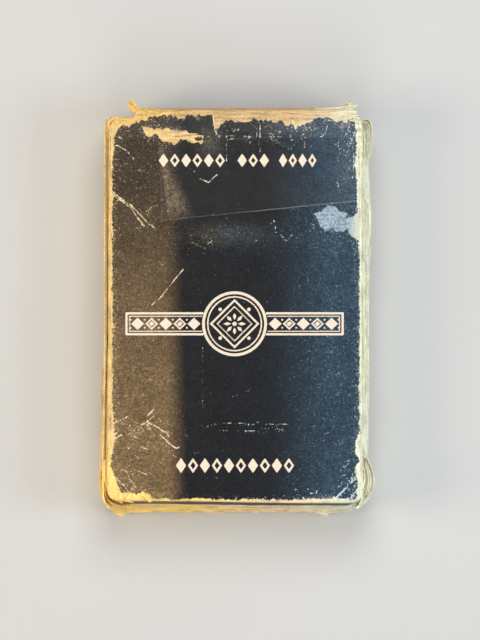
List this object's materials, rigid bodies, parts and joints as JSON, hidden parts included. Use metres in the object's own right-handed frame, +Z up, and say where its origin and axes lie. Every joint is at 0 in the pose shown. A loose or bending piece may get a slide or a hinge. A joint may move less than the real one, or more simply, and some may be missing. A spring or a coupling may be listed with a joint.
{
  "type": "playing card tuck box",
  "caption": "Worn paperboard tuck box with a hinged lid, tuck tongue, dust flaps, taped fold and its deck of cards.",
  "frame": {"origin": "middle of the rear panel's flat underside, on which the box lies", "axes": "+X across the box, +Y along it towards the lid, +Z up out of the printed face"},
  "size_m": [0.0647, 0.0975, 0.0183],
  "materials": {
    "printed_board": "dark ink print, scuffed, worn to tan board along every fold",
    "bare_board": "aged tan board",
    "clear_tape": "old clear film, satin, dusty at its edges",
    "card_stock": "satin card stock"
  },
  "bodies": {
    "box": {"face_panel": "printed_board", "rear_panel": "printed_board", "left_side_panel": "printed_board", "right_side_panel": "bare_board", "glue_flap": "bare_board", "bottom_outer_flap": "printed_board", "bottom_inner_flap": "bare_board", "bottom_dust_flap_left": "bare_board", "bottom_dust_flap_right": "bare_board", "repair_tape_on_face": "clear_tape"},
    "lid": {"lid_panel": "printed_board", "repair_tape_on_lid": "clear_tape"},
    "tongue": {"tuck_tongue": "bare_board"},
    "dust_flap_left": {"top_dust_flap_left": "bare_board"},
    "dust_flap_right": {"top_dust_flap_right": "bare_board"},
    "lowest_packet": {"joker_cards": "card_stock", "spade_cards": "card_stock"},
    "second_packet": {"heart_cards": "card_stock"},
    "third_packet": {"diamond_cards": "card_stock"},
    "top_packet": {"club_cards": "card_stock"}
  },
  "joints": [
    {"name": "deck_slide", "type": "slide", "parent": "box", "child": "lowest_packet", "axis": [0, 1, 0], "range_m": [0, 0.016]},
    {"name": "second_packet_slide", "type": "slide", "parent": "box", "child": "second_packet", "axis": [0, 1, 0], "range_m": [0, 0.0125]},
    {"name": "third_packet_slide", "type": "slide", "parent": "box", "child": "third_packet", "axis": [0, 1, 0], "range_m": [0, 0.009]},
    {"name": "top_packet_slide", "type": "slide", "parent": "box", "child": "top_packet", "axis": [0, 1, 0], "range_m": [0, 0.0055]},
    {"name": "lid_hinge", "type": "hinge", "parent": "box", "child": "lid", "pos_m": [0, 0.0472, 0.0174], "axis": [1, 0, 0], "range_deg": [0, 202], "deforming": ["tuck_tongue"]},
    {"name": "tongue_hinge", "type": "hinge", "parent": "lid", "child": "tongue", "pos_m": [0, 0.04747, 0.00075], "axis": [1, 0, 0], "range_deg": [0, 75]},
    {"name": "dust_flap_left_hinge", "type": "hinge", "parent": "box", "child": "dust_flap_left", "pos_m": [-0.03, 0.0459, 0.009], "axis": [0, 0, 1], "range_deg": [0, 152]},
    {"name": "dust_flap_right_hinge", "type": "hinge", "parent": "box", "child": "dust_flap_right", "pos_m": [0.03, 0.0459, 0.009], "axis": [0, 0, -1], "range_deg": [0, 152]}
  ],
  "couplings": [
    {"joint": "second_packet_slide", "follows": "deck_slide", "ratio": 0.76},
    {"joint": "third_packet_slide", "follows": "deck_slide", "ratio": 0.54},
    {"joint": "top_packet_slide", "follows": "deck_slide", "ratio": 0.32},
    {"joint": "lid_hinge", "follows": "deck_slide", "rad_per_m": 220},
    {"joint": "tongue_hinge", "follows": "deck_slide", "rad_per_m": 80},
    {"joint": "dust_flap_left_hinge", "follows": "deck_slide", "rad_per_m": 165},
    {"joint": "dust_flap_right_hinge", "follows": "deck_slide", "rad_per_m": 165}
  ]
}
